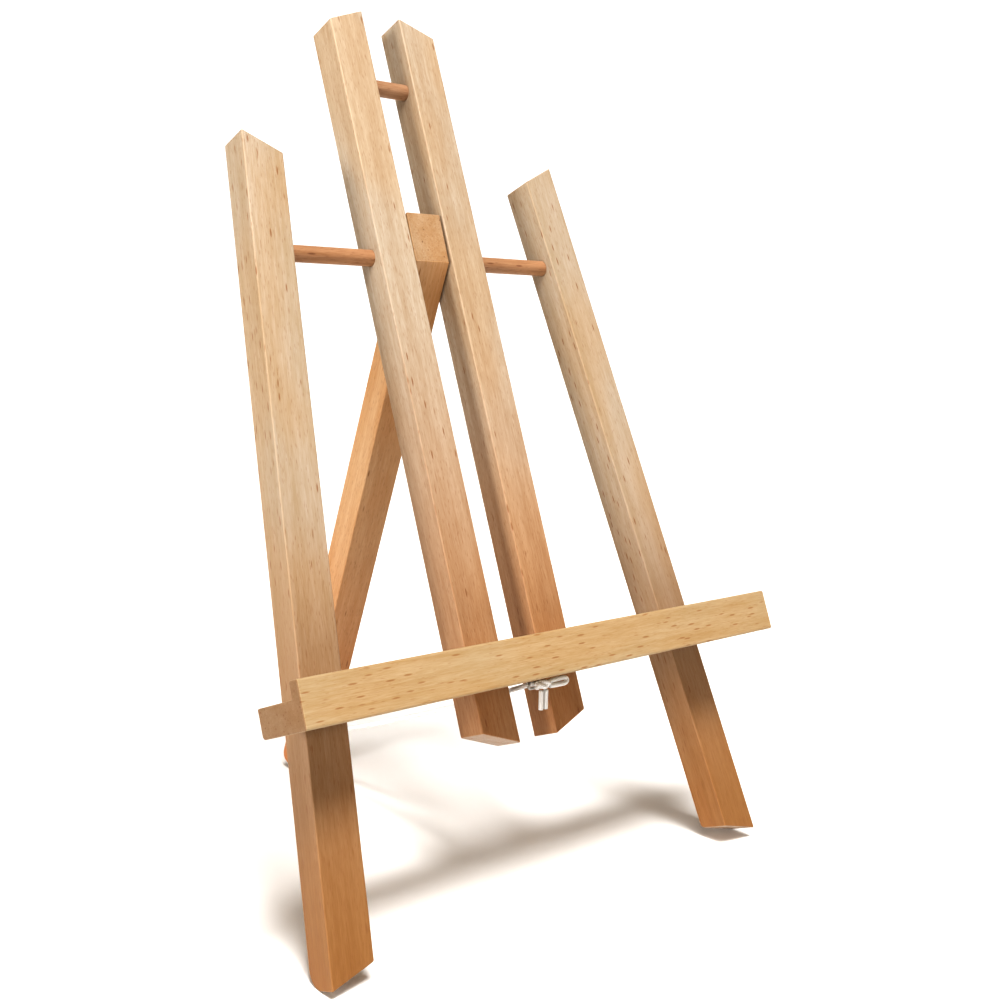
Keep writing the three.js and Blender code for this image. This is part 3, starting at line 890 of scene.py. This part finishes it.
def screw_profile(grow, top):
    """Tip, shank, cone of the head and its rim, each larger by grow, up to the height top."""
    shank = SCREW_RADIUS + grow
    rim = HEAD_RADIUS + grow
    return [(POINT_RADIUS, -SCREW_LENGTH - grow), (shank, -SCREW_LENGTH + POINT_LENGTH),
            (shank, -HEAD_HEIGHT - grow), (rim - CONE_STEP, -1.5 * HEAD_SUNK),
            (rim, -HEAD_SUNK), (rim, top)]


def leg_x(height):
    """How far the middle line of an outer leg is from the centre line at a height."""
    return LEG_SPREAD - height * math.tan(SPLAY)


SCREW_PLACES = {"ledge_screw_left_leg": -leg_x(SHELF_MIDDLE), "ledge_screw_left_bar": -CENTRE_X,
                "ledge_screw_right_bar": CENTRE_X, "ledge_screw_right_leg": leg_x(SHELF_MIDDLE)}


def screw_hole(x):
    """The cutter for one screw, open at the back face of its bar."""
    shape = lathe(screw_profile(HOLE_CLEAR, HOLE_OVERSHOOT))
    return tube_piece("screw_hole", shape + np.array([x, HALF_THICKNESS, SHELF_MIDDLE]), ZINC)


def screw(name, x, slot_turn):
    """A screw with a softened rim and a driver slot, at its place in the leaning frame."""
    profile = screw_profile(0, -HEAD_SUNK)[:-1] + HEAD_FACE
    piece = tube_piece("driven_" + name, lathe(profile), ZINC)
    corners = [(-SLOT_DEPTH, -SLOT_WIDTH / 2), (SLOT_DEPTH, -SLOT_WIDTH / 2),
               (SLOT_DEPTH, SLOT_WIDTH / 2), (-SLOT_DEPTH, SLOT_WIDTH / 2)]
    outline = arc_outline(corners, [SLOT_ROUND] * 4)
    slot = tube_piece("slot", swept_across(outline, 3 * HEAD_RADIUS, SLOT_ARRIS), ZINC)
    slot.data.transform(Matrix.Rotation(slot_turn, 4, "Y"))
    cut_away(piece, [slot])
    piece.data.transform(LEANING @ Matrix.Translation((x, HALF_THICKNESS, SHELF_MIDDLE)))
    crisp(piece)
    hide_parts(name)
    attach(piece, FRONT)


FIRST_SLOT_TURN = 0.5
NEXT_SLOT_TURN = 0.8
for turn, (name, x) in enumerate(SCREW_PLACES.items()):
    screw(name, x, FIRST_SLOT_TURN + NEXT_SLOT_TURN * turn)
print("screws:", sorted(SCREW_PLACES))

# %% [markdown]
# ## The four front bars
# Each bar is the same strip with both ends sawn at the same angle. The centre bars have their
# long edges inside, and the outer legs have theirs outside. The saw cut is a shear: the ends
# move in by the distance from the long edge times the tangent of the saw angle.

# %% Bars and legs
def sawn_strip(name, top, bottom, radii, long_side, material):
    """A strip from bottom to top whose ends are both cut back away from its long side."""
    corners = [(-HALF_THICKNESS, bottom), (HALF_THICKNESS, bottom),
               (HALF_THICKNESS, top), (-HALF_THICKNESS, top)]
    points = swept_across(arc_outline(corners, radii), STRIP_WIDTH, ARRIS)
    upper = points[..., 2] > (top + bottom) / 2
    back = math.tan(MITRE) * (HALF_WIDTH - long_side * points[..., 0])
    points[..., 2] += np.where(upper, -back, back)
    return tube_piece(name, points, material)


CROSS_HALF = LEG_SPREAD - HALF_WIDTH / math.cos(SPLAY) + DOWEL_SEAT
TOP_HALF = BAR_GAP / 2 + DOWEL_SEAT


def front_holes(x):
    """Cutters for the long dowel, the short dowel and the screws that are near x."""
    cutters = [round_bar("bore", BORE_RADIUS, (-CROSS_HALF, 0, 0), (CROSS_HALF, 0, 0))]
    if abs(x) < LEG_SPREAD / 2:
        cutters.append(round_bar("bore", BORE_RADIUS, (-TOP_HALF, 0, TOP_DOWEL_UP),
                                 (TOP_HALF, 0, TOP_DOWEL_UP)))
    near = [at for at in SCREW_PLACES.values() if abs(at - x) < 1.2 * STRIP_WIDTH]
    return cutters + [screw_hole(at) for at in near]


for name, side, plank_place in (("left_centre_bar", -1, 1), ("right_centre_bar", 1, 2)):
    bar = sawn_strip(name.replace("_bar", "_upright"), CENTRE_TOP, CENTRE_TOP - BAR_LENGTH,
                     [ARRIS] * 4, -side, BEECH)
    own = Matrix.Translation((side * CENTRE_X, 0, 0))
    bar.data.transform(own)
    cut_away(bar, front_holes(side * CENTRE_X))
    give_grain(bar, own, 2, plank_place, LEANING, CENTRE_TOP)
    wooden(bar, name, FRONT)

# %% The outer legs, the left one longer by what its rounded foot takes off
def foot_lift(radius):
    """How far a rounded back edge lifts a leg that leans: r times (cos + sin - 1) of the lean."""
    return radius * (math.cos(LEAN) + math.sin(LEAN) - 1)


LEG_BOTTOM = LEG_TOP - BAR_LENGTH
LEFT_EXTRA = ((foot_lift(LEFT_FOOT_ROUND) - foot_lift(RIGHT_FOOT_ROUND))
              / (math.cos(LEAN) * math.cos(SPLAY)))
for name, side, plank_place, radius, bottom in (
        ("left_leg", -1, 3, LEFT_FOOT_ROUND, LEG_BOTTOM - LEFT_EXTRA),
        ("right_leg", 1, 4, RIGHT_FOOT_ROUND, LEG_BOTTOM)):
    leg = sawn_strip(name.replace("_leg", "_outer_leg"), LEG_TOP, bottom,
                     [ARRIS, radius, ARRIS, ARRIS], side, BEECH_LEGS)
    own = Matrix.Translation((side * LEG_SPREAD, 0, 0)) @ Matrix.Rotation(-side * SPLAY, 4, "Y")
    leg.data.transform(own)
    cut_away(leg, front_holes(side * leg_x(SHELF_MIDDLE)))
    give_grain(leg, own, 2, plank_place, LEANING, LEG_TOP)
    wooden(leg, name, FRONT)

# %% [markdown]
# ## Dowels
# The long dowel is the hinge pin as well as the brace between the legs, and the short one ties
# the tops of the centre bars. Both are turned beech, a little darker than the bars.

# %% Dowels
def dowel(name, node, half, height, plank_place):
    """A round stick across the frame with chamfered ends."""
    tip = DOWEL_RADIUS - DOWEL_CHAMFER
    profile = [(tip, -half), (DOWEL_RADIUS, -half + DOWEL_CHAMFER),
               (DOWEL_RADIUS, half - DOWEL_CHAMFER), (tip, half)]
    piece = tube_piece(name, lathe(profile), DOWEL_WOOD)
    piece.data.transform(Matrix.Rotation(-math.pi / 2, 4, "Z"))
    own = Matrix.Translation((0, 0, height))
    piece.data.transform(own)
    give_grain(piece, own, 0, plank_place, LEANING)
    wooden(piece, node, FRONT)


dowel("long_dowel", "cross_dowel", half=CROSS_HALF, height=0, plank_place=6)
dowel("short_dowel", "top_dowel", half=TOP_HALF, height=TOP_DOWEL_UP, plank_place=7)

# %% [markdown]
# ## The ledge
# The ledge is planed to an L: a shelf against the bars and a thin lip that stops the canvas
# from sliding off. The inner corner of the L keeps a small fillet from the cutter.

# %% Ledge and its holes
LIP_FILLET = 0.8 * MM
STAPLE_WIRE = 0.6 * MM
STAPLE_HALF = 3.7 * MM
STAPLE_DROP = 3.4 * MM
STAPLE_PRONG = 8 * MM
STAPLE_BEND = 1.2 * MM
PRONG_CLEAR = 0.08 * MM
PRONG_SHORT = 0.3 * MM           # how much shorter a prong is than its hole
WIRE_SIDES = 20


def make_ledge():
    """The L outline swept along the whole ledge, with screw and staple holes."""
    back = -HALF_THICKNESS - SEAM
    front = -HALF_THICKNESS - LEDGE_DEPTH
    under = -LEDGE_DOWN
    shelf = under + SHELF_THICKNESS
    lip = under + LEDGE_HEIGHT
    corners = [(front, under), (back, under), (back, shelf), (front + LIP_THICKNESS, shelf),
               (front + LIP_THICKNESS, lip), (front, lip)]
    radii = [LEDGE_ARRIS, LEDGE_BACK_ROUND, ARRIS, LIP_FILLET, LEDGE_ARRIS, LEDGE_ARRIS]
    points = swept_across(arc_outline(corners, radii), LEDGE_LENGTH, ARRIS)
    ledge = tube_piece("canvas_ledge", points, BEECH_LEDGE)
    holes = [screw_hole(x) for x in SCREW_PLACES.values()]
    for side in (-1, 1):
        place = (side * STAPLE_HALF, STAPLE_Y)
        holes.append(round_bar("prong", STAPLE_WIRE + PRONG_CLEAR, (*place, under - 1 * MM),
                               (*place, under + STAPLE_PRONG), PRONG_SIDES))
    cut_away(ledge, holes)
    give_grain(ledge, Matrix.Identity(4), along=0, plank_place=5, body=LEANING)
    wooden(ledge, "ledge", FRONT)


make_ledge()

# %% [markdown]
# ## The staple
# A bent wire under the ledge leads the two strands. It is one tube: up one prong, across the
# crown with two small bends, and up the other prong.

# %% Staple
def staple():
    """A round wire along a U whose two corners are quarter circles."""
    crown = -LEDGE_DOWN - STAPLE_DROP
    tip = -LEDGE_DOWN + STAPLE_PRONG - PRONG_SHORT
    turn = np.linspace(0, np.pi / 2, ARC_STEPS)
    corner = np.column_stack([-STAPLE_HALF + STAPLE_BEND * (1 - np.cos(turn)),
                              crown + STAPLE_BEND * (1 - np.sin(turn))])
    half = np.vstack([[[-STAPLE_HALF, tip]], corner])
    line = np.vstack([half, (half * [-1, 1])[::-1]])
    path = np.column_stack([line[:, 0], np.full(len(line), STAPLE_Y), line[:, 1]])
    tangent = unit(np.gradient(path, axis=0))
    side = np.broadcast_to((0, 1, 0), path.shape)
    other = np.cross(tangent, side)
    angle = 2 * np.pi * np.arange(WIRE_SIDES)[None, :, None] / WIRE_SIDES
    ring = np.cos(angle) * side[:, None] + np.sin(angle) * other[:, None]
    points = placed((path[:, None] + STAPLE_WIRE * ring).reshape(-1, 3), LEANING)
    piece = tube_piece("bent_staple", points.reshape(len(path), WIRE_SIDES, 3), ZINC)
    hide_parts("cord_staple")
    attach(piece, FRONT)
    print(piece.name, "has", len(piece.data.polygons), "faces")


staple()

# %% [markdown]
# ## The rear leg
# One more strip, hung on the long dowel between the centre bars. Its top is sawn at 49 degrees
# so that it clears the canvas, its foot is rounded behind, and the cord goes through it low
# down. Its length follows from the table: its front edge has to stand where the feet stand.

# %% Rear leg
FOOT_Z = HALF_WIDTH * math.sin(SPLAY) + LEG_BOTTOM * math.cos(SPLAY)
TABLE_Z = (FOOT_Z * math.cos(LEAN) - HALF_THICKNESS * math.sin(LEAN)
           + foot_lift(RIGHT_FOOT_ROUND))
TOE_LIFT = REAR_TOE_ROUND * (math.cos(REAR_TURN) + math.sin(REAR_TURN) - 1)
REAR_BOTTOM = (TABLE_Z - TOE_LIFT - REAR_FRONT * math.sin(REAR_TURN)) / math.cos(REAR_TURN)


def rear_leg():
    """The rear strip with its pivot bore and its cord hole."""
    corners = [(REAR_FRONT, REAR_BOTTOM), (REAR_BACK, REAR_BOTTOM), (REAR_BACK, REAR_TOP),
               (REAR_FRONT, REAR_TOP - STRIP_THICKNESS * math.tan(REAR_MITRE))]
    radii = [REAR_TOE_ROUND, REAR_FOOT_ROUND, ARRIS, ARRIS]
    points = swept_across(arc_outline(corners, radii), STRIP_WIDTH, ARRIS)
    leg = tube_piece("rear_strut", points, BEECH_REAR)
    bore = round_bar("bore", BORE_RADIUS, (-STRIP_WIDTH, 0, 0), (STRIP_WIDTH, 0, 0))
    hole = round_bar("hole", HOLE_RADIUS, (0, 2 * REAR_FRONT, -HOLE_DOWN),
                     (0, 2 * REAR_BACK, -HOLE_DOWN))
    cut_away(leg, [bore, hole])
    give_grain(leg, Matrix.Identity(4), along=2, plank_place=8, body=SWUNG, top=REAR_TOP)
    wooden(leg, "rear_leg", BACK)


rear_leg()

# %% [markdown]
# ## Floor and light
# A pale floor, a high sun a little left of the front, a low one from the left and a small
# lamp near the tops are enough for wood. The backdrop is white, but the light that it gives is
# weak and warm, so the shaded sides stay warm.

# %% Floor
FLOOR_HALF = 6.0
FLOOR_SIGNS = ((-1, -1), (1, -1), (1, 1), (-1, 1))
FLOOR_COLOUR = (0.88, 0.87, 0.855, 1)


def floor():
    """A plain pale sheet on the table's level, far larger than the easel."""
    mesh = bpy.data.meshes.new("floor")
    corners = [(x * FLOOR_HALF, y * FLOOR_HALF, 0) for x, y in FLOOR_SIGNS]
    mesh.from_pydata(corners, [], [(0, 1, 2, 3)])
    finish = Finish("pale_floor", Roughness=0.9, Specular_IOR_Level=0.1)
    finish.show(Base_Color=FLOOR_COLOUR)
    mesh.materials.append(finish.material)
    sheet = bpy.data.objects.new("floor", mesh)
    bpy.context.scene.collection.objects.link(sheet)


floor()

# %% Lights
AIM = Vector((0.0, 0.0, 0.18))


def soft_light(name, place, size, power, colour):
    """A square lamp at a place, turned to the middle of the easel."""
    data = bpy.data.lights.new(name, "AREA")
    data.size = size
    data.energy = power
    data.color = colour
    lamp = bpy.data.objects.new(name, data)
    lamp.location = place
    lamp.rotation_euler = (AIM - Vector(place)).to_track_quat("-Z", "Y").to_euler()
    bpy.context.scene.collection.objects.link(lamp)


def sun(name, towards, strength, soft_deg):
    """An even light from far away, coming from the direction towards, with soft shadows."""
    data = bpy.data.lights.new(name, "SUN")
    data.energy = strength
    data.angle = math.radians(soft_deg)
    lamp = bpy.data.objects.new(name, data)
    lamp.rotation_euler = Vector(towards).to_track_quat("Z", "Y").to_euler()
    bpy.context.scene.collection.objects.link(lamp)


def sky(given):
    """A white backdrop whose light has the given colour."""
    world = bpy.data.worlds.new("sky")
    world.use_nodes = True
    tree = world.node_tree
    seen = tree.nodes.new("ShaderNodeLightPath").outputs["Is Camera Ray"]
    mix = tree.nodes.new("ShaderNodeMix")
    mix.data_type = "RGBA"
    tree.links.new(seen, mix.inputs["Factor"])
    mix.inputs["A"].default_value = (*given, 1)
    mix.inputs["B"].default_value = (1, 1, 1, 1)
    tree.links.new(mix.outputs["Result"], tree.nodes["Background"].inputs["Color"])
    bpy.context.scene.world = world


sun("key", towards=(-0.13, -0.38, 0.90), strength=2.9, soft_deg=20)
sun("side", towards=(-1.0, -0.16, 0.16), strength=1.7, soft_deg=14)
soft_light("near_top", place=(-0.26, -0.36, 0.85), size=0.3, power=2.2,
           colour=(1.0, 0.99, 0.97))
sky(given=(0.27, 0.23, 0.19))
bpy.context.scene.view_settings.view_transform = "Standard"
bpy.context.scene.view_settings.look = "High Contrast"
print("lights are on")

# %% Update the scene
bpy.context.view_layer.update()
